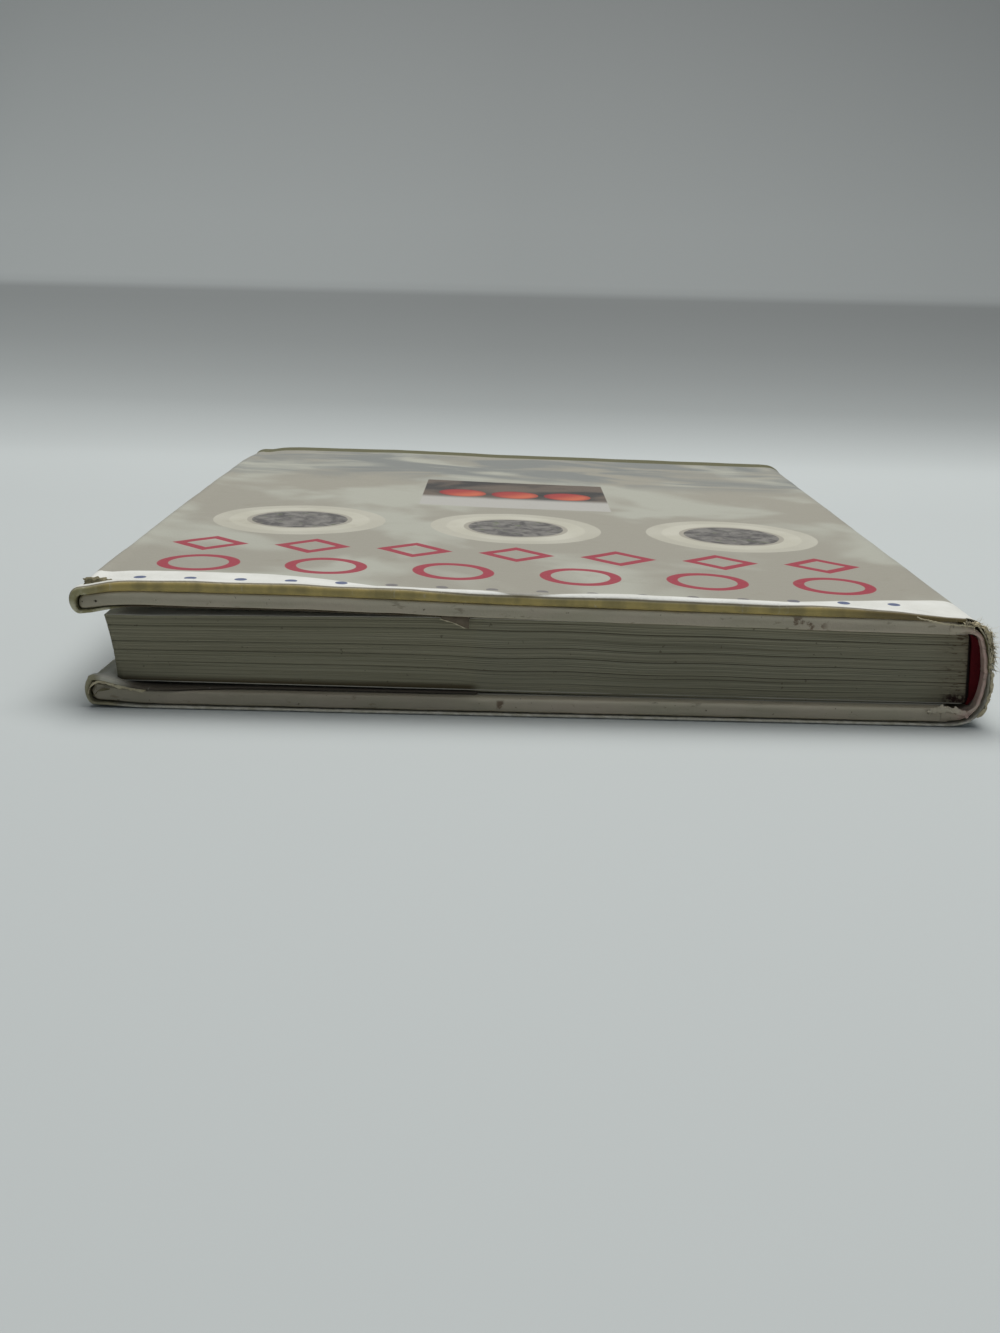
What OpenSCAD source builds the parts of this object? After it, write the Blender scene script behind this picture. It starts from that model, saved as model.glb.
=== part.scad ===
// Hardcover book in a loose paper jacket, lying closed on its back cover.
// X runs from the fore-edge (-X) to the spine (+X), Y from the head (-Y) to the tail (+Y), Z up.
// The origin is the middle of the face that the back cover rests on.

/* [Pages] */
// Width of a page from the spine to the fore-edge
page_w = 216; // [150:1:260]
// Height of a page from the head to the tail
page_h = 279; // [180:1:330]
// Thickness of all the pages at the spine
pages_t = 17.7; // [12:0.1:40]
// How much thinner the pages are at the fore-edge
pages_taper = 1; // [0:0.1:3]
// Rise of the lowest page between the spine and the fore-edge
pages_rise = 1.1; // [0.5:0.1:4]
// How far the top page leans past the bottom page at the fore-edge
fore_lean = 2.6; // [0:0.1:4]
// How far the glued spine of the pages leans the same way
spine_edge_lean = 1.4; // [0:0.1:1.6]
// Thickness of a free endpaper leaf
leaf_t = 0.2; // [0.1:0.05:0.4]
// Width of the glued shoulder that the endpaper leaves stop short of
leaf_setback = 1.6; // [1.5:0.1:4]

/* [Covers] */
// Thickness of the grey board in a cover
board_t = 3; // [1.5:0.1:4]
// How far the covers stand past the pages at the head and at the tail
end_square = 3.5; // [2:0.1:5]
// How far the back cover stands past the top page at the fore-edge
fore_square = 3.5; // [2:0.1:6]
// Width of the joint between the edge of a board and the end of its cover
joint_w = 2.75; // [1:0.05:4]
// Radius of the corners of the boards at the fore-edge
corner_r = 1.6; // [0.5:0.1:4]
// Thickness of the paper that covers the case
covering_t = 0.25; // [0.15:0.05:0.5]
// Width of the covering that is turned in over the inside of a board
turn_in_w = 15; // [8:1:25]
// Thickness of the endpaper that is pasted inside a cover
pastedown_t = 0.2; // [0.1:0.05:0.4]
// Bare margin between the pasted endpaper and the fore-edge
pastedown_margin = 3.5; // [1:0.5:7]
// Upward tilt of the front cover towards the fore-edge
front_tilt = 0.8; // [0.3:0.1:2]
// How far the front cover sits past the back cover at the fore-edge
front_shift = 2.2; // [0:0.1:3]
// Air between an endpaper leaf and the cover beside the joint
cover_gap = 0.25; // [0.2:0.05:0.6]

/* [Spine and joints] */
// Distance from the hinge line to the nearest part of a cover
hinge_clear = 5.3; // [4.8:0.1:8]
// Distance from the hinge line to the outside of the pages at the top of the spine
hinge_past_pages = 0.8; // [0.5:0.1:1.2]
// Depth of the curved spine behind the hinge line
spine_depth = 3.5; // [3.2:0.1:4]
// Height of the spine covering above the hinge line
spine_rise = 1.8; // [1:0.1:2]
// Sideways slope of the spine for each millimetre of height
spine_slope = 0.05; // [0:0.01:0.06]
// Thickness of the dark red strip inside the spine
inlay_t = 0.6; // [0.4:0.1:0.8]
// Thickness of the lining glued on the back of the pages
lining_t = 0.3; // [0.2:0.1:0.5]

/* [Jacket] */
// Thickness of the jacket paper
jacket_t = 0.25; // [0.15:0.05:0.4]
// How far the jacket's folded edges stand past the boards at the head and tail
jacket_past = 0.8; // [0.4:0.1:2]
// Width of the jacket paper folded in at the head and tail
fold_w = 25; // [12:1:40]
// Height of the sprung roll that the fold makes at the head of the front cover
roll_h = 3; // [2:0.1:5]
// Height of the flatter roll at the tail of the front cover
tail_roll_h = 1.4; // [1:0.1:5]
// Distance over which the front panel comes down from the roll
roll_run = 11; // [6:1:20]
// Air between the front panel and the folded-in strip
panel_lift = 0.25; // [0.1:0.05:0.8]
// Height of the pressed folds under the back cover
pressed_h = 1; // [0.8:0.1:2]
// How far the jacket loops out past the fore-edge of a cover
loop_out = 1.9; // [1:0.1:3]
// Width of a jacket flap inside a cover
flap_w = 97; // [40:1:110]
// Air between a flap and the pasted endpaper
flap_gap = 0.1; // [0.05:0.05:0.3]
// Depth of the jacket behind the spine covering
jacket_gap = 1.2; // [1:0.1:1.4]
// Height of the jacket above the spine covering at the joint
jacket_rise = 1.4; // [1:0.1:2]

/* [Print on the front panel] */
// Thickness of the printed fields
ink_t = 0.1; // [0.05:0.05:0.2]
// Bare margin between the print and the sides of the front panel
print_edge = 6; // [4:0.5:12]
// Bare strip between two rows of print
row_gap = 6; // [2:0.5:8]
// Depth of the pale band at the head
band_d = 7; // [4:0.5:10]
// Diameter of a blue dot in the pale band
dot_d = 3.2; // [2:0.1:4]
// Number of blue dots
dot_n = 16; // [4:1:24]
// Width of the line that the red shapes are drawn with
line_w = 3; // [1:0.1:5]
// Diameter of a red ring
ring_d = 22; // [12:0.5:24]
// Number of red rings
ring_n = 6; // [3:1:8]
// Length and depth of a red lozenge
lozenge_d = 22; // [12:0.5:24]
// Number of red lozenges
lozenge_n = 7; // [3:1:8]
// Diameter of a cream plate
plate_d = 54; // [30:1:60]
// Diameter of the grey serving on a plate
serving_d = 30; // [12:1:34]
// Width of the bare ring between a serving and its plate's rim
plate_groove = 1.6; // [0.8:0.1:3]
// Number of plates
plate_n = 3; // [2:1:3]
// Length of the small picture along the cover's width
picture_w = 66; // [56:1:80]
// Depth of the small picture
picture_d = 60; // [34:1:66]
// Diameter of a fruit in the small picture
fruit_d = 17; // [8:0.5:18]
// Distance between the middles of two fruits
fruit_pitch = 19; // [18.5:0.5:22]
// Number of fruits
fruit_n = 3; // [1:1:3]

/* [Hidden] */
cover_w = page_w + fore_square + hinge_past_pages - hinge_clear;
cover_h = page_h + 2 * end_square;
board_w = cover_w - covering_t - joint_w;
sheet_end_x = cover_w / 2;
hinge_x = sheet_end_x + hinge_clear;
cover_t = pastedown_t + 2 * covering_t + board_t;

// Heights, from the table up
back_inner_z = pressed_h + cover_t;
pages_x_top = hinge_x - hinge_past_pages;
pages_x_low = pages_x_top + spine_edge_lean;
pages_z = back_inner_z + cover_gap + leaf_t;
pages_top_z = pages_z + pages_t;
page_corner_low = 1.2;
page_corner_top = 0.8;

// Front edge of the pages
fore_x_top = pages_x_top - page_w;
fore_x_low = fore_x_top + fore_lean;
fore_z_low = pages_z + pages_rise;
fore_z_top = pages_top_z + pages_rise - pages_taper;
fore_curve = 1.7;
fore_steps = 12;
front_inner_z = top_page(sheet_end_x) + leaf_t + cover_gap;

// Spine section: one flattened ring shape, cut open towards the pages
spine_back = 4.8;
spine_mid_x = hinge_x - spine_back;
spine_mid_z = (front_inner_z + back_inner_z) / 2;
spine_half_z = (front_inner_z - back_inner_z) / 2 + spine_rise;
spine_half_x = spine_back + spine_depth;
ring_power = 3;
ring_steps = 24;
joint_angle = 86;
inlay_angle = 45;
end_setback = 1;

// Jacket
jacket_half_h = cover_h / 2 + jacket_past;
front_w = cover_w + front_shift;
flap_z = -flap_gap - jacket_t / 2;
loop_start = 1;
loop_steps = 16;
roll_steps = 14;
arc_steps = 8;

// Print
panel_top_z = cover_t + 2 * jacket_t + panel_lift;
flat_half_h = jacket_half_h - roll_run;
print_w = front_w - 2 * print_edge;
ring_y = -flat_half_h + band_d + row_gap + ring_d / 2;
lozenge_y = ring_y + ring_d / 2 + row_gap + lozenge_d / 2;
plate_y = lozenge_y + lozenge_d / 2 + row_gap + plate_d / 2;
picture_y = plate_y + plate_d / 2 + 2 * row_gap + picture_d / 2;
cut = 1;
small = 0.05;

paper_white = [0.78, 0.76, 0.7];
case_grey = [0.66, 0.62, 0.57];
page_grey = [0.55, 0.53, 0.45];
jacket_greige = [0.6, 0.58, 0.53];
jacket_yellow = [0.62, 0.57, 0.38];
dark_red = [0.22, 0.04, 0.05];
board_grey = [0.45, 0.43, 0.4];
print_red = [0.6, 0.18, 0.24];

// Points of an arc from angle a to angle b
function arc(c, r, a, b, n) =
    [for (i = [0 : n]) c + r * [cos(a + (b - a) * i / n), sin(a + (b - a) * i / n)]];

// Unit normal on the left of a line of points at point i
function along(p, i) = p[min(i + 1, len(p) - 1)] - p[max(i - 1, 0)];
function left_of(p, i) = [-along(p, i)[1], along(p, i)[0]] / norm(along(p, i));

// Outline of a sheet of thickness t whose middle follows a line of points
function ribbon(p, t) = concat(
    [for (i = [0 : len(p) - 1]) p[i] + left_of(p, i) * t / 2],
    [for (i = [len(p) - 1 : -1 : 0]) p[i] - left_of(p, i) * t / 2]);

// A point of the spine ring, drawn inwards by a depth
function ring_point(in, t) =
    let (z = (spine_half_z - in) * sign(sin(t)) * pow(abs(sin(t)), 2 / ring_power))
    [spine_mid_x + (spine_half_x - in) * pow(cos(t), 2 / ring_power) - spine_slope * z, spine_mid_z + z];

// The same for the jacket, which stands further out and higher at the joints
function jacket_point(in, t) =
    let (z = (spine_half_z + jacket_rise - in) * sign(sin(t)) * pow(abs(sin(t)), 2 / ring_power))
    [spine_mid_x + (spine_half_x + jacket_gap - in) * pow(cos(t), 2 / ring_power) - spine_slope * z,
     spine_mid_z + z];

// Height of the top page, and of the lowest page, at a place along X
function top_page(x) =
    let (start = pages_x_top - page_corner_top)
    pages_top_z + (fore_z_top - pages_top_z) * (start - x) / (start - fore_x_top);
function low_page(x) =
    let (start = pages_x_low - page_corner_low)
    pages_z + (fore_z_low - pages_z) * (start - x) / (start - fore_x_low);

// Back of the pages, on the straight line between its two rounded corners
function spine_side(z) =
    let (low = pages_z + page_corner_low, top = pages_top_z - page_corner_top)
    pages_x_low - spine_edge_lean * (z - low) / (top - low);

// Front edge of the pages at a share s of its height
function fore_point(s) =
    [fore_x_low - fore_lean * pow(s, fore_curve), fore_z_low + (fore_z_top - fore_z_low) * s];

// Half of the jacket's section from the folded-in strip over the roll to the flat panel
function fold_line(h, panel_z, run) =
    let (r = (h - jacket_t) / 2, zi = cover_t + jacket_t / 2, y = -jacket_half_h + jacket_t / 2 + r)
    concat(
        [[-jacket_half_h + fold_w, zi]],
        arc([y, zi + r], r, 270, 90, roll_steps),
        [for (i = [1 : roll_steps])
            [y + (run - r) * i / roll_steps,
             panel_z + (zi + 2 * r - panel_z) * (1 + cos(180 * i / roll_steps)) / 2]]);

function mirrored(p) = [for (i = [len(p) - 1 : -1 : 0]) [-p[i][0], p[i][1]]];

// Section of the jacket round the fore-edge of a cover: panel, loop and flap
function loop_line(w, panel_z) =
    let (zc = (panel_z + flap_z) / 2, hz = (panel_z - flap_z) / 2, x = -w + loop_start)
    concat(
        [[-w + 3 * loop_start, panel_z]],
        [for (i = [0 : loop_steps])
            [x - (loop_out + loop_start - jacket_t / 2) * sin(180 * i / loop_steps),
             zc + hz * cos(180 * i / loop_steps)]],
        [[-w + flap_w, flap_z]]);

// Plan outline of a cover piece, from the fore-edge corners to its straight spine side
function cover_plan(x_fore, x_end, half_h, r) = concat(
    [[x_end, -half_h], [x_end, half_h]],
    arc([x_fore + r, half_h - r], r, 90, 180, arc_steps),
    arc([x_fore + r, -half_h + r], r, 180, 270, arc_steps));

// Extrudes a section drawn in X and Z along the book's height
module along_y(h) {
    rotate([90, 0, 0]) linear_extrude(h, center = true) children();
}

// Extrudes a section drawn in Y and Z along the book's width, from x = 0 to -w
module along_x(w) {
    translate([-w, 0, 0]) rotate([90, 0, 90]) linear_extrude(w) children();
}

// Places a cover piece drawn with its inner face at z = 0 and its joint end at x = 0
module on_front() {
    translate([sheet_end_x, 0, front_inner_z]) rotate([0, front_tilt, 0]) children();
}

module on_back() {
    translate([sheet_end_x, 0, back_inner_z]) mirror([0, 0, 1]) children();
}

// Grey board of a cover of width w
module board(w) {
    translate([0, 0, pastedown_t + covering_t]) linear_extrude(board_t)
        polygon(cover_plan(-w + covering_t, -w + covering_t + board_w, cover_h / 2 - covering_t, corner_r));
}

// Plan of the inside of a cover that the turned-in edges leave open
module inside_window(w, shrink) {
    translate([-w + turn_in_w + shrink, -cover_h / 2 + turn_in_w + shrink])
        square([w - turn_in_w - shrink, cover_h - 2 * turn_in_w - 2 * shrink]);
}

// Paper pasted over a board, with its edges turned in on the inside
module covering(w) {
    difference() {
        translate([0, 0, pastedown_t]) linear_extrude(board_t + 2 * covering_t)
            polygon(cover_plan(-w, 0, cover_h / 2, corner_r + covering_t));
        translate([0, 0, pastedown_t + covering_t]) linear_extrude(board_t)
            polygon(cover_plan(-w + covering_t, cut, cover_h / 2 - covering_t, corner_r));
        linear_extrude(pastedown_t + covering_t + cut) inside_window(w, 0);
    }
}

// Endpaper pasted on the inside, with the pad that sinks between the turned-in edges
module pastedown(w) {
    linear_extrude(pastedown_t)
        translate([-w + pastedown_margin, -page_h / 2]) square([w - pastedown_margin, page_h]);
    linear_extrude(pastedown_t + covering_t) inside_window(w, small);
}

// Jacket on one cover: panel with folded head and tail, loop round the fore-edge, and flap
module jacket_side(w, head_h, tail_h, panel_z, run) {
    head = fold_line(head_h, panel_z, run);
    tail = mirrored(fold_line(tail_h, panel_z, run));
    along_x(w - loop_start) polygon(ribbon(concat(head, tail), jacket_t));
    along_y(2 * jacket_half_h) polygon(ribbon(loop_line(w, panel_z), jacket_t));
}

// Shell of the spine between two depths, up to an angle each way
module spine_shell(in_a, in_b, angle) {
    polygon(concat(
        [for (i = [0 : ring_steps]) ring_point(in_a, -angle + 2 * angle * i / ring_steps)],
        [for (i = [0 : ring_steps]) ring_point(in_b, angle - 2 * angle * i / ring_steps)]));
}

module jacket_shell(in_a, in_b) {
    polygon(concat(
        [for (i = [0 : ring_steps]) jacket_point(in_a, -joint_angle + 2 * joint_angle * i / ring_steps)],
        [for (i = [0 : ring_steps]) jacket_point(in_b, joint_angle - 2 * joint_angle * i / ring_steps)]));
}

// Runs a child at the head and again at the tail, a distance in from the middle
module both_ends(y) {
    for (side = [-1, 1]) translate([0, side * y, 0]) children();
}

module text_block() {
    color(page_grey) along_y(page_h) polygon(concat(
        arc([pages_x_low - page_corner_low, pages_z + page_corner_low], page_corner_low, 270, 360, arc_steps),
        arc([pages_x_top - page_corner_top, pages_top_z - page_corner_top], page_corner_top, 0, 90, arc_steps),
        [for (i = [0 : fore_steps]) fore_point(1 - i / fore_steps)]));
}

// Paper glued flat on the back of the pages
module spine_lining() {
    low = pages_z + page_corner_low;
    top = pages_top_z - page_corner_top;
    color(jacket_yellow) along_y(page_h - 2 * end_setback)
        polygon([[spine_side(low), low], [spine_side(low) + lining_t, low],
                 [spine_side(top) + lining_t, top], [spine_side(top), top]]);
}

module front_flyleaf() {
    x = pages_x_top - leaf_setback;
    z = top_page(x);
    color(paper_white) along_y(page_h)
        polygon([[x, z], [x, z + leaf_t], [fore_x_top, fore_z_top + leaf_t], [fore_x_top, fore_z_top]]);
}

module back_flyleaf() {
    x = pages_x_low - leaf_setback;
    z = low_page(x);
    color(paper_white) along_y(page_h)
        polygon([[x, z], [x, z - leaf_t], [fore_x_low, fore_z_low - leaf_t], [fore_x_low, fore_z_low]]);
}

// Strip glued inside the spine, a little short of the turned ends of the covering
module spine_inlay() {
    color(dark_red) along_y(cover_h - 2 * end_setback)
        spine_shell(2 * covering_t, 2 * covering_t + inlay_t, inlay_angle);
}

// Covering over the spine, with the part of the joints beside it, turned in and lipped at both ends
module spine_covering() {
    color(case_grey) {
        along_y(cover_h) spine_shell(0, covering_t, joint_angle);
        both_ends(cover_h / 2 - turn_in_w / 2)
            along_y(turn_in_w) spine_shell(covering_t, 2 * covering_t, inlay_angle);
        both_ends(cover_h / 2 - end_setback / 2)
            along_y(end_setback) spine_shell(covering_t, 2 * covering_t + inlay_t, inlay_angle);
    }
}

// Jacket over the spine, doubled where its head and tail are folded in
module jacket_spine() {
    color(jacket_greige) {
        along_y(2 * jacket_half_h) jacket_shell(0, jacket_t);
        both_ends(jacket_half_h - fold_w / 2)
            along_y(fold_w) jacket_shell(jacket_t, 2 * jacket_t);
    }
}

module front_board() {
    color(board_grey) on_front() board(front_w);
}

module front_covering() {
    color(case_grey) on_front() covering(front_w);
}

module front_pastedown() {
    color(paper_white) on_front() pastedown(front_w);
}

module jacket_front() {
    color(jacket_greige) on_front()
        jacket_side(front_w, roll_h, tail_roll_h, panel_top_z - jacket_t / 2, roll_run);
}

// Places flat print on the front panel at a level above the paper
module print_at(level) {
    on_front() translate([0, 0, panel_top_z + level * ink_t]) linear_extrude(ink_t) children();
}

// Repeats a child at even distances along the width of the printed area
module in_row(n, y) {
    for (i = [0 : n - 1]) translate([-print_edge - print_w * (i + 0.5) / n, y]) children();
}

module print_pale_band() {
    color(paper_white) print_at(0)
        translate([-print_edge - print_w, -flat_half_h]) square([print_w, band_d]);
}

module print_blue_dots() {
    color([0.2, 0.25, 0.5]) print_at(1)
        in_row(dot_n, -flat_half_h + band_d / 2) circle(d = dot_d, $fn = 24);
}

module print_red_rings() {
    color(print_red) print_at(0) in_row(ring_n, ring_y) difference() {
        circle(d = ring_d, $fn = 48);
        circle(d = ring_d - 2 * line_w, $fn = 48);
    }
}

// Square frames that stand on a corner
module print_red_lozenges() {
    side = lozenge_d / sqrt(2);
    color(print_red) print_at(0) in_row(lozenge_n, lozenge_y) rotate([0, 0, 45]) difference() {
        square([side, side], center = true);
        square([side - 2 * line_w, side - 2 * line_w], center = true);
    }
}

module print_plates() {
    color([0.74, 0.73, 0.66]) print_at(0) in_row(plate_n, plate_y) difference() {
        circle(d = plate_d, $fn = 64);
        circle(d = serving_d + 2 * plate_groove, $fn = 64);
    }
}

module print_servings() {
    color([0.32, 0.31, 0.3]) print_at(0) in_row(plate_n, plate_y) circle(d = serving_d, $fn = 48);
}

module print_picture() {
    color([0.2, 0.19, 0.18]) print_at(0)
        translate([-front_w / 2, picture_y]) square([picture_w, picture_d], center = true);
}

// Round fruits in a row on the small picture
module print_fruit() {
    color(print_red) print_at(1)
        for (i = [0 : fruit_n - 1])
            translate([-front_w / 2 + (i - (fruit_n - 1) / 2) * fruit_pitch, picture_y])
                circle(d = fruit_d, $fn = 32);
}

module back_board() {
    color(board_grey) on_back() board(cover_w);
}

module back_covering() {
    color(case_grey) on_back() covering(cover_w);
}

module back_pastedown() {
    color(paper_white) on_back() pastedown(cover_w);
}

module jacket_back() {
    color(jacket_greige) on_back()
        jacket_side(cover_w, pressed_h, pressed_h, cover_t + pressed_h - jacket_t / 2, roll_run);
}

text_block();
spine_lining();
front_flyleaf();
back_flyleaf();
spine_inlay();
spine_covering();
jacket_spine();
front_board();
front_covering();
front_pastedown();
jacket_front();
print_pale_band();
print_blue_dots();
print_red_rings();
print_red_lozenges();
print_plates();
print_servings();
print_picture();
print_fruit();
back_board();
back_covering();
back_pastedown();
jacket_back();
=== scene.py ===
"""Hardcover cookbook in a worn paper jacket: the looks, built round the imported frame.

Shapes are worked out in millimetres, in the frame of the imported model, and turned into metres as the meshes are made:
X from the fore-edge to the spine, Y from the head to the tail, Z up.
"""

import math

import bpy
import numpy as np
from mathutils import Matrix, Vector


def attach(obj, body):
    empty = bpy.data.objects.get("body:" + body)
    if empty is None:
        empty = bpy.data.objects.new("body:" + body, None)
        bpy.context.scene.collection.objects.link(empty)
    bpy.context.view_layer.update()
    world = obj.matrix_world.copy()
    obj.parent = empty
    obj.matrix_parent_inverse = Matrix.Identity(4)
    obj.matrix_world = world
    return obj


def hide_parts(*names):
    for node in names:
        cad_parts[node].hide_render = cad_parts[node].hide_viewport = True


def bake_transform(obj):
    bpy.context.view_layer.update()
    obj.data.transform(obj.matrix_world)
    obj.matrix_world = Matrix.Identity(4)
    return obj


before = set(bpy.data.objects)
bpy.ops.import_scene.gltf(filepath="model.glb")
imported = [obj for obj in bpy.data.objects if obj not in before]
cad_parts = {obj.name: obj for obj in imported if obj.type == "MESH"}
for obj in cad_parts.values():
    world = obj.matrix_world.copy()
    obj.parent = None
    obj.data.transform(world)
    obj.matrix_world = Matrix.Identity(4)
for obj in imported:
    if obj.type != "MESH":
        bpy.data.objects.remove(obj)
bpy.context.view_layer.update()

MM = 0.001

# Sizes in millimetres, the same as in the part's source
PAGE_H, PAGES_T = 279.0, 17.7
PAGES_Z = 5.15
PAGES_X_TOP, PAGES_X_LOW = 112.0, 113.4
FORE_X_TOP, FORE_X_LOW = -104.0, -101.4
FORE_Z_TOP, FORE_Z_LOW = 22.95, 6.25
FORE_LEAN, FORE_CURVE = 2.6, 1.7
COVER_H, COVER_T, BACK_W, FRONT_W = 286.0, 3.7, 215.0, 217.2
SHEET_X = 107.5
FRONT_Z, BACK_Z = 23.3017, 4.7
TILT = math.radians(0.8)
HALF_H, FOLD_W, RUN = 143.8, 25.0, 11.0
FLAP_W, PASTE_MARGIN = 97.0, 3.5


# Shapes

def lumps(x, y, size, seed):
    """Smooth random values between -1 and 1 over a plane, with lumps of about the given size."""
    table = np.random.default_rng(seed).uniform(-1, 1, (64, 64))
    sx, sy = size if isinstance(size, tuple) else (size, size)
    x, y = np.broadcast_arrays(np.asarray(x, float) / sx, np.asarray(y, float) / sy)
    i, j = np.floor(x).astype(int), np.floor(y).astype(int)
    fx, fy = x - i, y - j
    fx, fy = fx * fx * (3 - 2 * fx), fy * fy * (3 - 2 * fy)
    a, b = table[i % 64, j % 64], table[(i + 1) % 64, j % 64]
    c, d = table[i % 64, (j + 1) % 64], table[(i + 1) % 64, (j + 1) % 64]
    return (a * (1 - fx) + b * fx) * (1 - fy) + (c * (1 - fx) + d * fx) * fy


def ease(x, a, b):
    """Smooth step from 0 at a to 1 at b."""
    s = np.clip((np.asarray(x, float) - a) / (b - a), 0, 1)
    return s * s * (3 - 2 * s)


def cover_bow(x):
    """The slight warp of the front cover between the spine and the fore-edge."""
    return np.interp(x, (-112, -98, -88, -55, -28, -8, 20, 70, 108), (0, 0, 0.1, 0.42, 0.24, -0.04, -0.1, -0.1, 0))


def pages_wave(x):
    """Waves that moisture has left along the head of the pages."""
    at = (-104, -82, -48, -22, -3, 8, 17, 30, 48, 66, 86, 112)
    up = (0, 0.12, 0.36, 0.12, -0.34, 0.26, 0.08, -0.36, 0.12, -0.14, 0.12, 0)
    return sum(np.interp(x + step, at, up) for step in (-5, -2.5, 0, 2.5, 5)) / 5


def pages_swell(x):
    """How far the top pages have risen towards the cover."""
    return np.interp(x, (-104, -93, -82, -58, -22, 18, 46, 92, 112), (0, 0, 0.3, 0.62, 1.2, 1.0, 0.66, 0.05, 0))


def tilted(p):
    """Points drawn on the front cover, inner face at z = 0 and joint end at x = 0, tilted and bowed as it is."""
    out = np.empty_like(p)
    out[..., 0] = SHEET_X + p[..., 0] * math.cos(TILT) + p[..., 2] * math.sin(TILT)
    out[..., 1] = p[..., 1]
    out[..., 2] = FRONT_Z - p[..., 0] * math.sin(TILT) + p[..., 2] * math.cos(TILT)
    out[..., 2] += cover_bow(out[..., 0])
    return out


def front_place(p):
    """The same points with the droop of the corner."""
    return front_droop(tilted(p))


def front_droop(p):
    """The worn corner at the head of the fore-edge hangs a little."""
    d = p[..., 0] + 109.7
    end = np.exp(-((HALF_H - np.abs(p[..., 1])) / 26) ** 2)
    p[..., 2] -= (0.25 + 1.25 * end) * np.exp(-(np.clip(d, 0, None) / 7) ** 2)
    return p


def back_place(p):
    """Points drawn on the back cover, inner face at z = 0 and outwards up, as they lie on the book."""
    out = np.empty_like(p)
    out[..., 0] = SHEET_X + p[..., 0]
    out[..., 1] = p[..., 1]
    out[..., 2] = BACK_Z - p[..., 2]
    return back_lift(out)


def back_lift(p):
    """The same corner of the back cover turns up."""
    d = np.clip(p[..., 0] + 107.5, 0, None)
    end = np.exp(-((HALF_H - np.abs(p[..., 1])) / 30) ** 2)
    p[..., 2] += 2.0 * end * np.exp(-(d / 8) ** 2) * (0.3 + 0.7 * np.clip(p[..., 2] / 6, 0, 1))
    return p


def link(name, data):
    """New object in the scene."""
    obj = bpy.data.objects.new(name, data)
    bpy.context.collection.objects.link(obj)
    return obj


def make(name, verts, faces, mats, slots=None, vectors=None, smooth=True):
    """Mesh object from points in millimetres."""
    mesh = bpy.data.meshes.new(name)
    mesh.from_pydata((np.asarray(verts) * MM).tolist(), [], [list(map(int, f)) for f in faces])
    for m in mats:
        mesh.materials.append(m)
    if slots is not None:
        mesh.polygons.foreach_set("material_index", np.asarray(slots, np.int32))
    mesh.polygons.foreach_set("use_smooth", np.full(len(mesh.polygons), smooth))
    for key, values in (vectors or {}).items():
        attribute = mesh.attributes.new(key, "FLOAT_VECTOR", "POINT")
        attribute.data.foreach_set("vector", np.asarray(values, np.float32).ravel())
    mesh.update()
    return link(name, mesh)


def paper_sheet(name, points, thick, mats, vectors=None, keep=None):
    """Sheet of paper over a grid of points.

    The quads that keep leaves out are torn away. The materials are for the outside, the inside and the edge.
    """
    nu, nv = points.shape[:2]
    n = np.cross(np.gradient(points, axis=0), np.gradient(points, axis=1))
    n /= np.linalg.norm(n, axis=2, keepdims=True) + 1e-9
    half = (np.broadcast_to(thick, (nu, nv)) / 2)[..., None]
    idx = np.arange(nu * nv).reshape(nu, nv)
    quads = np.stack([idx[:-1, :-1], idx[1:, :-1], idx[1:, 1:], idx[:-1, 1:]], -1).reshape(-1, 4)
    if keep is not None:
        quads = quads[keep.reshape(-1)]
    edges = np.concatenate([quads[:, [k, (k + 1) % 4]] for k in range(4)])
    key, back = edges[:, 0] * nu * nv + edges[:, 1], edges[:, 1] * nu * nv + edges[:, 0]
    rim = edges[~np.isin(key, back)]
    total = nu * nv
    rims = np.stack([rim[:, 1], rim[:, 0], rim[:, 0] + total, rim[:, 1] + total], -1)
    faces = np.concatenate([quads, quads[:, ::-1] + total, rims])
    slots = np.concatenate([np.zeros(len(quads)), np.ones(len(quads)), np.full(len(rims), 2)])
    verts = np.concatenate([(points + n * half).reshape(-1, 3), (points - n * half).reshape(-1, 3)])
    used, faces = np.unique(faces, return_inverse=True)
    faces = faces.reshape(-1, 4)
    data = {k: np.concatenate([v.reshape(-1, 3)] * 2)[used] for k, v in (vectors or {}).items()}
    return make(name, verts[used], faces, mats, slots, vectors=data)


def spline(points, step):
    """Smooth curve through points, sampled about every step."""
    p = np.asarray(points, float)
    p = np.concatenate([[2 * p[0] - p[1]], p, [2 * p[-1] - p[-2]]])
    fine = []
    for i in range(1, len(p) - 2):
        t = np.linspace(0, 1, 24, endpoint=False)[:, None]
        a, b, c, d = p[i - 1], p[i], p[i + 1], p[i + 2]
        fine.append(0.5 * (2 * b + (c - a) * t + (2 * a - 5 * b + 4 * c - d) * t ** 2
                           + (3 * b - a - 3 * c + d) * t ** 3))
    fine = np.concatenate(fine + [p[-2][None]])
    run = np.concatenate([[0], np.cumsum(np.linalg.norm(np.diff(fine, axis=0), axis=1))])
    want = np.linspace(0, run[-1], max(2, int(round(run[-1] / step)) + 1))
    return np.stack([np.interp(want, run, fine[:, k]) for k in range(fine.shape[1])], -1)


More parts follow.
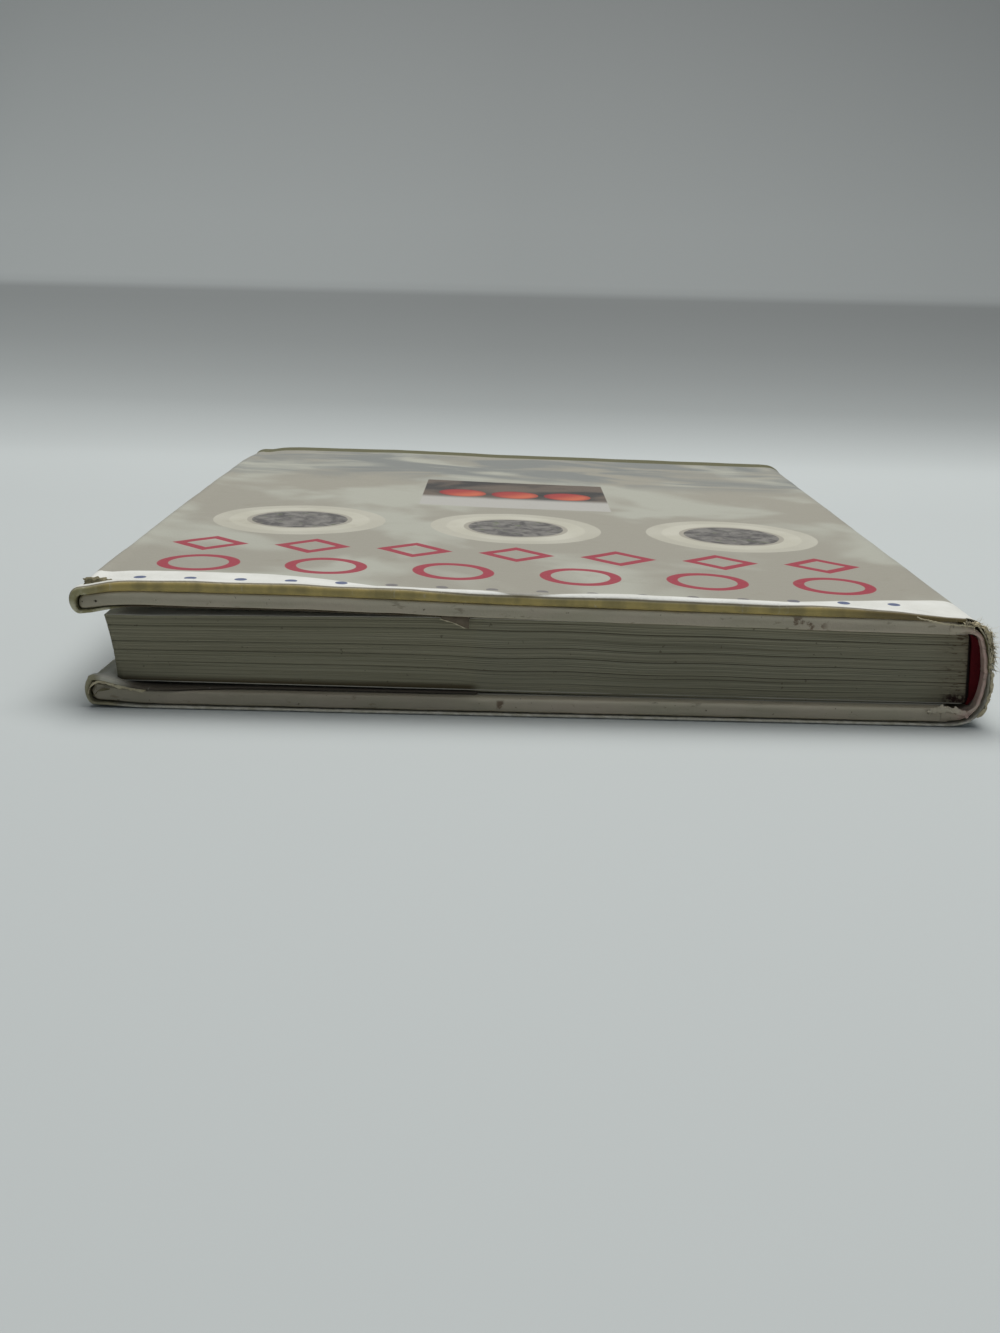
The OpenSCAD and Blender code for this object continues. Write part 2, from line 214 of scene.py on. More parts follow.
def plan_ring(x0, x1, half, r):
    """Plan of a board as a ring of points and inward normals: head edge, fore-edge, tail edge and joint end."""
    pts, norms = [], []

    def side(a, b, n, normal):
        for k in range(n):
            pts.append(a + (b - a) * k / n)
            norms.append(normal)

    def corner(c, a0, a1, n):
        for k in range(n):
            a = math.radians(a0 + (a1 - a0) * k / n)
            pts.append(c + r * np.array([math.cos(a), math.sin(a)]))
            norms.append(-np.array([math.cos(a), math.sin(a)]))

    side(np.array([x1, -half]), np.array([x0 + r, -half]), 110, np.array([0.0, 1.0]))
    corner(np.array([x0 + r, -half + r]), 270, 180, 8)
    side(np.array([x0, -half + r]), np.array([x0, half - r]), 130, np.array([1.0, 0.0]))
    corner(np.array([x0 + r, half - r]), 180, 90, 8)
    side(np.array([x0 + r, half]), np.array([x1, half]), 90, np.array([0.0, -1.0]))
    side(np.array([x1, half]), np.array([x1, -half]), 40, np.array([-1.0, 0.0]))
    return np.array(pts), np.array(norms)


def slab(name, place, x0, x1, half, z0, z1, edge, fore, r, wear, mats, seed):
    """Board with softly rounded and slightly battered edges."""
    pts, norms = plan_ring(x0, x1, half, r)
    centre = np.array([(x0 + x1) / 2, 0])
    # The fore-edge is worn rounder than the head and the tail
    round_to = edge + (fore - edge) * np.clip(norms[:, 0], 0, 1)
    arc = [(1 - math.cos(math.radians(a)), 1 - math.sin(math.radians(a))) for a in np.linspace(90, 0, 6)]
    rows = [(1.0, 0.0, 1, k) for k in (0.25, 0.5, 0.7, 0.82, 0.9, 0.95, 0.985)]
    rows += [(i, d, 1, 1.0) for i, d in arc]
    rows += [(0.0, 1.0, f, 1.0) for f in (0.33, -0.33)]
    rows += [(i, d, -1, 1.0) for i, d in arc[::-1]]
    rows += [(1.0, 0.0, -1, k) for k in (0.985, 0.95, 0.9, 0.82, 0.7, 0.5, 0.25)]
    run = np.cumsum(np.linalg.norm(np.roll(pts, -1, 0) - pts, axis=1))
    corner = np.hypot(pts[:, 0] - x0, np.abs(pts[:, 1]) - half)
    battered = wear * (1 + 2.2 * np.exp(-(corner / 5) ** 2))
    middle, half_t = (z0 + z1) / 2, (z1 - z0) / 2
    grid = []
    for inset, drop, side, k in rows:
        p = pts + norms * (inset * round_to)[:, None]
        p = centre + (p - centre) * k
        zz = middle + side * (half_t - drop * round_to)
        if k == 1.0:
            dent = battered * (lumps(run, zz * 3, (5, 2.5), seed) * 0.6 + lumps(run, zz, (1.7, 1.2), seed + 1) * 0.4)
            p = p + norms * (dent + battered * 0.4)[:, None]
            zz = zz + battered * 0.5 * lumps(run, zz, (7, 3), seed + 2)
        grid.append(np.column_stack([p, zz]))
    grid = place(np.array(grid))
    rows_n, n = grid.shape[:2]
    idx = np.arange(rows_n * n).reshape(rows_n, n)
    nxt = np.roll(idx, -1, axis=1)
    faces = [list(q) for q in np.stack([idx[:-1], idx[1:], nxt[1:], nxt[:-1]], -1).reshape(-1, 4)]
    faces.append(list(idx[0]))
    faces.append(list(idx[-1][::-1]))
    verts = grid.reshape(-1, 3)
    if signed_volume(verts, faces) < 0:
        faces = [f[::-1] for f in faces]
    return make(name, verts, faces, mats)


def signed_volume(verts, faces):
    """Six times the volume inside the faces, negative where they face inwards."""
    total = 0.0
    for f in faces:
        a = verts[f[0]]
        for i in range(1, len(f) - 1):
            total += float(np.dot(a, np.cross(verts[f[i]], verts[f[i + 1]])))
    return total


# Materials

class Look:
    """One procedural material, with short names for its nodes."""

    def __init__(self, name):
        self.mat = bpy.data.materials.new(name)
        self.mat.use_nodes = True
        self.tree = self.mat.node_tree
        self.tree.nodes.clear()
        out = self.new("OutputMaterial")
        self.shader = self.new("BsdfPrincipled")
        self.tree.links.new(self.shader.outputs[0], out.inputs[0])

    def new(self, kind):
        return self.tree.nodes.new("ShaderNode" + kind)

    def put(self, socket, value):
        if isinstance(value, bpy.types.NodeSocket):
            self.tree.links.new(value, socket)
        elif isinstance(value, tuple) and len(value) == 3 and socket.type == "RGBA":
            socket.default_value = (*value, 1)
        else:
            socket.default_value = value

    def math(self, op, a, b=0.0):
        n = self.new("Math")
        n.operation = op
        self.put(n.inputs[0], a)
        self.put(n.inputs[1], b)
        return n.outputs[0]

    def add(self, a, b):
        return self.math("ADD", a, b)

    def sub(self, a, b):
        return self.math("SUBTRACT", a, b)

    def mul(self, a, b):
        return self.math("MULTIPLY", a, b)

    def min(self, a, b):
        return self.math("MINIMUM", a, b)

    def max(self, a, b):
        return self.math("MAXIMUM", a, b)

    def mod(self, a, b):
        return self.math("FLOORED_MODULO", a, b)

    def abs(self, a):
        return self.math("ABSOLUTE", a)

    def mix(self, share, a, b):
        n = self.new("Mix")
        n.data_type = "RGBA"
        self.put(n.inputs[0], share)
        self.put(n.inputs[6], a)
        self.put(n.inputs[7], b)
        return n.outputs[2]

    def shade(self, colour, value):
        """Colour times a value."""
        n = self.new("VectorMath")
        n.operation = "SCALE"
        self.put(n.inputs[0], colour)
        self.put(n.inputs[3], value)
        return n.outputs[0]

    def place(self):
        """Object coordinates in millimetres."""
        n = self.new("TexCoord")
        return self.scaled(n.outputs["Object"], (1000, 1000, 1000))

    def attribute(self, name):
        n = self.new("Attribute")
        n.attribute_name = name
        return n

    def split(self, vector):
        n = self.new("SeparateXYZ")
        self.put(n.inputs[0], vector)
        return n.outputs[0], n.outputs[1], n.outputs[2]

    def join(self, x, y, z):
        n = self.new("CombineXYZ")
        for s, v in zip(n.inputs, (x, y, z)):
            self.put(s, v)
        return n.outputs[0]

    def scaled(self, vector, by):
        n = self.new("VectorMath")
        n.operation = "MULTIPLY"
        self.put(n.inputs[0], vector)
        self.put(n.inputs[1], by)
        return n.outputs[0]

    def noise(self, vector, scale, detail=2.0, rough=0.5, distort=0.0):
        n = self.new("TexNoise")
        for key, value in zip(("Vector", "Scale", "Detail", "Roughness", "Distortion"),
                              (vector, scale, detail, rough, distort)):
            self.put(n.inputs[key], value)
        return n.outputs[0]

    def span(self, value, a, b, to_a=0.0, to_b=1.0):
        n = self.new("MapRange")
        n.interpolation_type = "SMOOTHSTEP"
        for key, v in zip(("Value", "From Min", "From Max", "To Min", "To Max"), (value, a, b, to_a, to_b)):
            self.put(n.inputs[key], v)
        return n.outputs[0]

    def bump(self, height, strength, distance):
        n = self.new("Bump")
        n.inputs["Strength"].default_value = strength
        n.inputs["Distance"].default_value = distance
        self.put(n.inputs["Height"], height)
        self.tree.links.new(n.outputs[0], self.shader.inputs["Normal"])

    def finish(self, colour, rough, level=0.5):
        self.put(self.shader.inputs["Base Color"], colour)
        self.put(self.shader.inputs["Roughness"], rough)
        self.shader.inputs["Specular IOR Level"].default_value = level
        return self.mat


def paper_look(name, colour, dark, rough=0.7, size=0.05, level=0.3, grain=0.4):
    """Plain paper or card: mottled, with small specks and a fine grain."""
    t = Look(name)
    p = t.place()
    mottle = t.span(t.noise(p, size, 4, 0.6), 0.3, 0.7)
    speck = t.span(t.noise(p, 0.9, 2, 0.5), 0.66, 0.74)
    c = t.mix(t.mul(mottle, 0.55), colour, dark)
    c = t.mix(t.mul(speck, 0.35), c, tuple(v * 0.5 for v in dark))
    t.bump(t.noise(p, 2.2, 3, 0.6), grain, 0.00012)
    return t.finish(c, rough, level=level)


def case_look(name):
    """Pinkish grey paper of the case: soiled, with painted highlights along the upper edges of the boards and painted
    shade on the back board's edge.
    """
    t = Look(name)
    p = t.place()
    x, y, z = t.split(p)
    base = t.mix(t.span(t.noise(p, 0.035, 3, 0.55), 0.35, 0.7), (0.505, 0.435, 0.335), (0.445, 0.405, 0.295))
    # Painted shade: the back board's edge is made up to a fifth darker towards the fore-edge, where the back flap
    # shades it
    low = t.span(z, 7, 5)
    base = t.shade(base, t.sub(1.0, t.mul(low, t.span(x, -4, -22, 0.0, 0.2))))
    head = t.mul(t.span(z, 26, 24), t.span(t.abs(y), 134, 141))
    base = t.mix(t.mul(t.span(x, 108, 113), head), base, (0.60, 0.42, 0.36))
    soft = t.span(t.noise(t.scaled(p, (0.06, 0.3, 0.5)), 1.0, 3, 0.6), 0.42, 0.72)
    c = t.mix(t.mul(soft, 0.45), base, (0.35, 0.315, 0.23))
    # The upper edge of each board catches the light
    height = t.sub(t.add(z, t.mul(x, 0.014)), 24.8)
    light = t.max(t.span(height, 1.9, 3.1), t.mul(t.span(z, 3.2, 4.2), t.mul(low, t.span(x, -14, -9))))
    c = t.mix(t.mul(light, 0.45), c, (0.68, 0.61, 0.47))
    stain = t.span(t.noise(t.scaled(p, (0.14, 0.5, 0.5)), 1.0, 4, 0.65), 0.62, 0.7)
    c = t.mix(t.mul(stain, 0.5), c, (0.17, 0.135, 0.085))
    # Food stains, one cluster on the front board and a few spots on the back one
    spots = t.span(t.noise(p, 0.32, 3, 0.6), 0.5, 0.58)
    for at, high, wide in ((70.0, 25.6, 6.5), (-4.5, 2.8, 1.5), (12.8, 2.3, 1.3), (-77.0, 27.4, 0.7)):
        tall = min(2.2, wide)
        near = t.mul(t.span(t.abs(t.sub(x, at)), wide, wide / 2), t.span(t.abs(t.sub(z, high)), tall, tall / 2))
        c = t.mix(t.mul(t.mul(near, spots), 0.8), c, (0.13, 0.075, 0.04))
    # Two nicks at the fore-edge corner of the front board, their shade painted nearly black
    for at, high, wide in ((-108.3, 27.0, 0.45), (-104.9, 27.2, 0.7)):
        far = t.add(t.abs(t.sub(x, at)), t.abs(t.mul(t.sub(z, high), 2.0)))
        c = t.mix(t.span(t.add(far, t.noise(p, 1.5, 1, 0.5)), wide + 0.6, wide + 0.2), c, (0.04, 0.03, 0.02))
    speck = t.span(t.noise(p, 0.8, 3, 0.6), 0.68, 0.74)
    c = t.mix(t.mul(speck, 0.7), c, (0.09, 0.07, 0.05))
    t.bump(t.add(t.noise(p, 1.6, 3, 0.6), t.mul(t.noise(p, 0.3, 2, 0.5), 2.0)), 0.5, 0.0002)
    return t.finish(c, 0.62, level=0.35)


def page_look():
    """Edges of the pages: many fine lines, with painted shade in the gaps between the gatherings and in some of the
    gaps between the leaves.
    """
    t = Look("page_edges")
    a = t.attribute("leaf")
    along, layer, depth = t.split(a.outputs["Vector"])
    fine = t.noise(t.join(t.mul(along, 0.01), t.mul(layer, 62.0), 0.0), 1.0, 3, 0.75)
    broad = t.noise(t.join(t.mul(along, 0.006), t.mul(layer, 9.0), 3.3), 1.0, 2, 0.5)
    # The ground colour is kept dark: partly the pages' own tone, partly painted shade of the fine gaps between the
    # leaves and of the overhanging boards
    c = t.mix(t.span(fine, 0.32, 0.68), (0.185, 0.172, 0.115), (0.375, 0.355, 0.258))
    c = t.mix(t.mul(t.span(broad, 0.35, 0.65), 0.4), c, (0.30, 0.275, 0.195))
    # Painted shade in the wider gaps between the gatherings
    dark = t.mul(t.span(depth, 0.1, 1.0), 0.95)
    for count, width, share, seed in ((17.0, 0.1, 0.5, 1.1), (41.0, 0.14, 0.3, 5.7)):
        # Painted shade: one dark line to each band, at its own height, that fades in and out along the pages
        waved = t.add(t.mul(layer, count), t.mul(t.noise(t.join(t.mul(along, 0.02), seed, 0.0), 1.0, 2, 0.5), 0.7))
        band = t.math("FLOOR", waved)
        own = t.noise(t.join(t.mul(band, 7.31), seed, 0.0), 1.0, 0)
        off = t.abs(t.sub(t.sub(waved, band), t.add(0.5, t.mul(t.sub(own, 0.5), 0.8))))
        comes = t.span(t.noise(t.join(t.mul(along, 0.016), t.mul(band, 3.17), seed), 1.0, 1, 0.5), 0.35, 0.6)
        dark = t.max(dark, t.mul(comes, t.span(off, width * 0.3, width, share, 0.0)))
    c = t.mix(dark, c, (0.055, 0.048, 0.03))
    p = t.place()
    x, y, z = t.split(p)
    # Darker and browner over the long gap above the back flap, and towards the spine
    left = t.span(x, -9, -13)
    c = t.mix(t.mul(left, 0.25), c, (0.29, 0.262, 0.165))
    c = t.mix(t.mul(left, t.span(z, 7.9, 6.2, 0.0, 0.85)), c, (0.06, 0.04, 0.015))
    c = t.mix(t.span(x, 98, 113, 0.0, 0.35), c, (0.16, 0.115, 0.07))
    ticks = t.span(t.noise(t.scaled(p, (0.35, 0.35, 1.9)), 1.0, 3, 0.6), 0.55, 0.63)
    c = t.mix(t.mul(ticks, t.span(x, 103, 111, 0.0, 0.75)), c, (0.06, 0.035, 0.02))
    # Painted shade: the lower corner of the pages by the spine is darkened in patches
    corner_shade = t.span(t.noise(p, 0.9, 3, 0.6), 0.62, 0.42)
    c = t.mix(t.mul(t.mul(t.span(x, 105, 109), t.span(z, 8.6, 6.4)), corner_shade), c, (0.03, 0.012, 0.01))
    # Painted shade: a nearly black line along the back of the pages, beside the red card
    c = t.mix(t.span(t.add(x, t.mul(z, 0.047)), 112.6, 113.0), c, (0.02, 0.012, 0.01))
    speck = t.span(t.noise(p, 0.7, 2, 0.5), 0.7, 0.76)
    c = t.mix(t.mul(speck, 0.5), c, (0.08, 0.06, 0.04))
    t.bump(fine, 0.5, 0.0003)
    return t.finish(c, 0.85, level=0.2)


def disc(t, x, y, radius, soft=0.12):
    """1 inside a circle round the origin."""
    d = t.math("POWER", t.add(t.mul(x, x), t.mul(y, y)), 0.5)
    return t.span(t.sub(radius, d), -soft, soft), d


# Print on the front panel: width, distance from the joint, and the middle of each row from the middle of the cover
PRINT_W, PRINT_EDGE = 205.2, 6.0
RINGS_Y, LOZENGES_Y, PLATES_Y, PICTURE_Y, DOTS_Y = -108.8, -80.8, -36.8, 32.2, -129.3
PICTURE_U, PICTURE_HALF_W, PICTURE_HALF_D, FRUIT_PITCH = -108.6, 33.0, 30.0, 19.0
RED = (0.30, 0.03, 0.052)
# Height at which the pale band begins
BAND_Y = -120.9


def jacket_look(name, printed):
    """Outside of the jacket: greige ground, pale band, yellowed folds, wear, painted shade in the gaps at the flaps, a
    painted highlight on the back flap, and on the front the printed shapes.
    """
    t = Look(name)
    u, y, yellow = t.split(t.attribute("sheet").outputs["Vector"])
    flat = t.join(u, y, 0.0)
    shift = t.mul(t.sub(t.noise(flat, 0.11, 2, 0.5), 0.5), 0.8)
    yw = t.add(y, shift)
    cloud = t.span(t.noise(flat, 0.016, 3, 0.55, 0.4), 0.46, 0.6)
    ground = t.mix(cloud, (0.30, 0.285, 0.238), (0.375, 0.375, 0.32))
    linen = t.noise(t.scaled(t.join(t.add(u, t.mul(y, 0.5)), y, 0.0), (0.017, 0.034, 1)), 1.0, 4, 0.55, 1.0)
    folds = t.mul(t.span(y, 48, 84), t.span(linen, 0.38, 0.58))
    c = t.mix(folds, ground, (0.205, 0.212, 0.2))
    if printed:
        d = t.sub(-PRINT_EDGE, u)
        inner = t.min(d, t.sub(PRINT_W, d))
        on_print = t.span(inner, -0.15, 0.15)

        def row(n, y0):
            """Place in the nearest of n equal cells of a row."""
            pitch = PRINT_W / n
            cell = t.sub(t.mod(d, pitch), pitch / 2)
            return cell, t.sub(yw, y0)

        def paint(c, mask, colour, share=1.0):
            """Colour laid over the print inside its margins."""
            return t.mix(t.mul(t.mul(mask, on_print), share), c, colour)

        a, b = row(3, PLATES_Y)
        plate, far = disc(t, a, b, 27.0)
        rim = t.span(far, 21.5, 22.5)
        tone = t.mix(t.span(t.noise(flat, 0.05, 2, 0.5), 0.3, 0.7), (0.50, 0.485, 0.41), (0.44, 0.425, 0.35))
        c = paint(c, plate, t.mix(t.mul(rim, 0.4), tone, (0.36, 0.345, 0.29)))
        c = paint(c, t.mul(plate, t.span(far, 16.6, 16.4)), (0.33, 0.31, 0.26))
        serving, near = disc(t, a, b, 15.0)
        stew = t.mix(t.span(t.noise(flat, 0.22, 4, 0.65, 0.6), 0.35, 0.65), (0.085, 0.08, 0.078), (0.2, 0.19, 0.175))
        c = paint(c, serving, stew)
        green = t.mul(serving, t.span(t.noise(flat, 0.3, 2, 0.5), 0.62, 0.66))
        c = paint(c, green, (0.12, 0.14, 0.08), 0.6)
        a, b = row(6, RINGS_Y)
        dist = disc(t, a, b, 5.0)[1]
        c = paint(c, t.span(t.abs(t.sub(dist, 9.5)), 1.62, 1.38), RED, 0.95)
        a, b = row(7, LOZENGES_Y)
        dist = t.add(t.abs(a), t.abs(b))
        c = paint(c, t.span(t.abs(t.sub(dist, 8.88)), 2.24, 2.0), RED, 0.95)
        px = t.sub(u, PICTURE_U)
        py = t.sub(yw, PICTURE_Y)
        box = t.min(t.sub(PICTURE_HALF_W, t.abs(px)), t.sub(PICTURE_HALF_D, t.abs(py)))
        table = t.mix(t.span(t.noise(flat, 0.03, 3, 0.6, 0.5), 0.4, 0.6), (0.05, 0.047, 0.045), (0.13, 0.105, 0.085))
        table = t.mix(t.span(py, -6, -14), table, (0.4, 0.39, 0.36))
        c = paint(c, t.span(box, -0.12, 0.12), table)
        pitch = t.sub(t.mod(t.add(px, 1.5 * FRUIT_PITCH), FRUIT_PITCH), FRUIT_PITCH / 2)
        fruit, deep = disc(t, pitch, py, 8.5)
        fruit = t.mul(fruit, t.span(t.abs(px), 28.6, 28.4))
        skin = t.mix(t.span(t.add(pitch, t.mul(py, -1.0)), -6, 9), (0.32, 0.05, 0.045), (0.5, 0.13, 0.07))
        c = paint(c, fruit, t.mix(t.span(deep, 5.5, 8.5, 0, 0.5), skin, (0.16, 0.02, 0.03)))
        # The fold at the head takes up the pale band along the middle of the cover
        taken = t.mul(t.min(t.span(u, -183, -96), t.span(u, 25, -130)), 24.0)
        edge = t.add(yw, taken)
        band = t.mul(t.span(edge, BAND_Y, BAND_Y - 0.6), t.span(inner, -200.0, -199.0))
        pale = t.mix(t.span(t.noise(flat, 0.08, 3, 0.6), 0.3, 0.7), (0.70, 0.70, 0.66), (0.62, 0.62, 0.575))
        c = t.mix(band, c, pale)
        a, b = row(16, DOTS_Y)
        dot = disc(t, a, b, 1.6)[0]
        c = paint(c, dot, t.mix(t.span(taken, 6, 10), (0.045, 0.07, 0.17), (0.16, 0.15, 0.15)), 0.9)
    else:
        c = t.mix(t.span(y, BAND_Y, BAND_Y - 0.6), c, (0.60, 0.60, 0.55))
        cool = t.span(t.abs(t.add(y, 20.0)), 60, 40)
        c = t.mix(t.mul(cool, 0.35), c, (0.44, 0.42, 0.34))
    if printed:
        patch = t.noise(t.scaled(flat, (0.11, 0.3, 1)), 1.0, 3, 0.6)
        ochre = t.mix(t.span(patch, 0.4, 0.62), (0.47, 0.365, 0.135), (0.31, 0.25, 0.105))
        ochre = t.mix(t.span(u, -40, -14, 0.0, 0.9), ochre, (0.16, 0.12, 0.055))
        cream = t.max(t.span(u, -210, -216), t.span(u, 3, 9))
        patch = t.mix(t.span(t.noise(flat, 0.35, 3, 0.6), 0.38, 0.58), (0.58, 0.545, 0.38), (0.33, 0.30, 0.16))
        ochre = t.mix(cream, ochre, patch)
    else:
        ochre = t.mix(t.span(t.noise(flat, 0.3, 3, 0.6), 0.35, 0.65), (0.62, 0.6, 0.52), (0.44, 0.42, 0.33))
        patch = t.mix(t.span(t.noise(flat, 0.5, 3, 0.6), 0.4, 0.6), (0.42, 0.38, 0.26), (0.2, 0.175, 0.1))
        ochre = t.mix(t.span(u, -205, -211), ochre, patch)
    c = t.mix(yellow, c, ochre)
    line = t.mul(t.span(yellow, 0.02, 0.3), t.span(yellow, 0.9, 0.5))
    c = t.mix(t.mul(line, 0.85), c, (0.115, 0.095, 0.05))
    c = t.mix(t.span(y, 135.8, 137.0), c, (0.11, 0.105, 0.055))
    # Painted shade: nearly black inside the gap between each flap and the pages, near the head
    width = FRONT_W if printed else BACK_W
    if not printed:
        # Painted highlight: the back flap beside the fore-edge is made a lighter cream
        c = t.mix(t.span(u, -width - 5, -width - 8, 0.0, 0.75), c, (0.66, 0.63, 0.54))
        olive = t.mul(t.span(u, -width + 7, -width + 3, 0.0, 0.8), t.span(u, -width - 8, -width - 5))
        c = t.mix(olive, c, (0.34, 0.31, 0.2))
    uneven = t.add(y, t.mul(t.sub(t.noise(flat, 0.12, 3, 0.6), 0.5), 9.0))
    inside = t.mul(t.span(u, -width - 9, -width - 16), t.span(uneven, -132, -139))
    c = t.mix(t.mul(inside, 0.9), c, (0.045, 0.03, 0.018))
    rub = t.span(t.noise(flat, 0.5, 4, 0.7), 0.62, 0.75)
    c = t.mix(t.mul(rub, t.span(t.abs(y), 118, 144, 0.12, 0.5)), c, (0.55, 0.53, 0.47))
    soil = t.span(t.noise(flat, 0.06, 4, 0.65), 0.6, 0.8)
    c = t.mix(t.mul(soil, 0.3), c, (0.2, 0.17, 0.12))
    crease = t.add(t.mul(t.noise(flat, 0.07, 3, 0.6, 0.8), 3.0), t.noise(flat, 1.2, 2, 0.5))
    t.bump(crease, 0.35, 0.00035)
    return t.finish(c, t.span(rub, 0, 1, 0.5, 0.7), level=0.2)


PAGES = page_look()
CASE = case_look("case_paper")
BOARD = paper_look("grey_board", (0.24, 0.22, 0.2), (0.15, 0.13, 0.11), 0.9, 0.2, 0.15, 0.8)
ENDPAPER = paper_look("endpaper", (0.56, 0.53, 0.45), (0.44, 0.4, 0.31), 0.75)
INLAY = paper_look("dark_red_card", (0.105, 0.008, 0.011), (0.055, 0.005, 0.007), 0.85, 0.3, 0.1, 0.6)
KRAFT = paper_look("kraft_lining", (0.2, 0.13, 0.075), (0.1, 0.065, 0.04), 0.85, 0.15, 0.2, 0.8)
JACKET_IN = paper_look("jacket_inside", (0.38, 0.355, 0.25), (0.25, 0.23, 0.14), 0.75, 0.06)
JACKET_EDGE = paper_look("jacket_edge", (0.46, 0.43, 0.34), (0.3, 0.26, 0.17), 0.85, 0.4)
FRONT_PRINT = jacket_look("jacket_front_print", True)
BACK_PRINT = jacket_look("jacket_back_print", False)
SCRAP = paper_look("torn_paper", (0.21, 0.185, 0.11), (0.075, 0.065, 0.035), 0.8, 0.7, 0.2, 0.8)

CREAM = paper_look("frayed_paper", (0.66, 0.59, 0.42), (0.36, 0.285, 0.15), 0.85, 0.6, 0.2, 0.8)
FLAP_CORNER = paper_look("flap_corner", (0.2, 0.16, 0.115), (0.14, 0.11, 0.075), 0.8, 0.4, 0.2, 0.5)

for node, look in (("spine_lining", KRAFT), ("back_flyleaf", ENDPAPER)):
    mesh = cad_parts[node].data
    for i in range(max(1, len(mesh.materials))):
        if len(mesh.materials) <= i:
            mesh.materials.append(look)
        mesh.materials[i] = look


# Pieces

def fit(obj, body, slot, *nodes):
    """Hang a piece on a body, or for a joint bake its placement into its mesh, and hide the solids it stands for."""
    if body == "front_joint":
        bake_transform(obj)
    elif body == "back_joint":
        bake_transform(obj)
    else:
        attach(obj, body)
    if nodes:
        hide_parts(*nodes)


def pages():
    """All the pages as thin layers, each a little in or out of line, with wider gaps between the gatherings."""
    layers, half = 108, PAGE_H / 2
    s = np.linspace(0, 1, layers + 1)
    z_back = PAGES_Z - 0.1 + s * (PAGES_T + 0.1)
    low, top = PAGES_Z + 1.2, PAGES_Z + PAGES_T - 0.8
    x_back = PAGES_X_LOW - 1.4 * (z_back - low) / (top - low)
    corner = np.clip(low - z_back, 0, 1.2)
    x_back = np.where(z_back < low, PAGES_X_LOW - 1.2 + np.sqrt(np.clip(1.44 - corner ** 2, 0, None)), x_back)
    corner = np.clip(z_back - top, 0, 0.8)
    x_back = np.where(z_back > top, PAGES_X_TOP - 0.8 + np.sqrt(np.clip(0.64 - corner ** 2, 0, None)), x_back)
    x_fore = FORE_X_LOW - FORE_LEAN * s ** FORE_CURVE
    z_fore = FORE_Z_LOW + (FORE_Z_TOP - FORE_Z_LOW) * s
    ring = []
    for k in range(130):
        ring.append((k / 130, -half, 0, 1))
    for k in range(20):
        ring.append((1, -half + PAGE_H * k / 20, -1, 0))
    for k in range(70):
        ring.append((1 - k / 70, half, 0, -1))
    for k in range(100):
        ring.append((0, half - PAGE_H * k / 100, 1, 0))
    ring = np.array(ring)
    run = np.concatenate([[0], np.cumsum(np.hypot(np.diff(ring[:, 0]) * 215, np.diff(ring[:, 1])))])
    rng = np.random.default_rng(11)
    inset = rng.uniform(0.0, 0.11, layers + 1)
    depth = np.zeros(layers + 1)
    gatherings = ((0.07, 0.3), (0.13, 0.5), (0.19, 0.3), (0.25, 0.4), (0.3, 1), (0.36, 0.4), (0.415, 0.3), (0.47, 1),
                  (0.54, 0.4), (0.61, 1), (0.67, 0.35), (0.73, 0.5), (0.79, 0.3), (0.85, 0.9), (0.91, 0.35), (0.96, 0.5))
    for g, strength in gatherings:
        i = int(round(g * layers))
        inset[i] += 0.26 * strength
        depth[i] = strength
    verts, leaf = [], []
    for i in range(layers + 1):
        x = x_fore[i] + (x_back[i] - x_fore[i]) * ring[:, 0]
        y = ring[:, 1].copy()
        rag = inset[i] + 0.05 * lumps(run, s[i] * 300, (14, 1.0), 21)
        if 0 < i < layers:
            x = x + ring[:, 2] * rag * np.where(ring[:, 2] < 0, 0.3, 1)
            y = y + ring[:, 3] * rag
        f = ring[:, 0]
        z = z_fore[i] + (z_back[i] - z_fore[i]) * f
        wave = pages_wave(x) * ease(y, 120, -60) + 0.3 * lumps(x, y, (46, 130), 5) + 0.1 * lumps(x, y, (19, 60), 6)
        z = z + wave * math.sin(math.pi * s[i]) ** 0.7 * ease(f, 1.02, 0.85) + pages_swell(x) * s[i] ** 1.5
        z = z - 0.6 * ease(x, -17, -8) * ease(x, 112, 60) * (1 - s[i]) ** 3
        verts.append(np.column_stack([x, y, z]))
        leaf.append(np.column_stack([run, np.full(len(x), s[i]), np.full(len(x), depth[i])]))
    verts, leaf = np.array(verts), np.array(leaf)
    n = verts.shape[1]
    idx = np.arange(verts.shape[0] * n).reshape(-1, n)
    nxt = np.roll(idx, -1, axis=1)
    faces = [list(q) for q in np.stack([idx[:-1], nxt[:-1], nxt[1:], idx[1:]], -1).reshape(-1, 4)]
    faces.append(list(idx[0][::-1]))
    faces.append(list(idx[-1]))
    obj = make("pages", verts.reshape(-1, 3), faces, [PAGES], vectors={"leaf": leaf.reshape(-1, 3)})
    fit(obj, "book_block", "page_edges", "text_block")


def covers():
    """Covering, grey board and pasted endpaper of each cover."""
    for side, place, w, seed in (("front", front_place, FRONT_W, 31), ("back", back_place, BACK_W, 47)):
        body = side + "_cover"
        skin = slab(side + "_case", place, -w, 0, COVER_H / 2, 0.2, COVER_T, 0.6, 1.65, 1.9, 0.13, [CASE], seed)
        fit(skin, body, "case_paper", side + "_covering")
        core = slab(side + "_core", place, -w + 0.5, -3, COVER_H / 2 - 0.5, 0.6, COVER_T - 0.4, 0.4, 1.3, 1.6, 0,
                    [BOARD], seed)
        fit(core, body, "grey_board", side + "_board")
        leaf = slab(side + "_endpaper", place, -w + PASTE_MARGIN, 0, PAGE_H / 2, 0.0, 0.35, 0.08, 0.08, 0.4, 0.03,
                    [ENDPAPER], seed + 3)
        fit(leaf, body, "endpaper", side + "_pastedown")


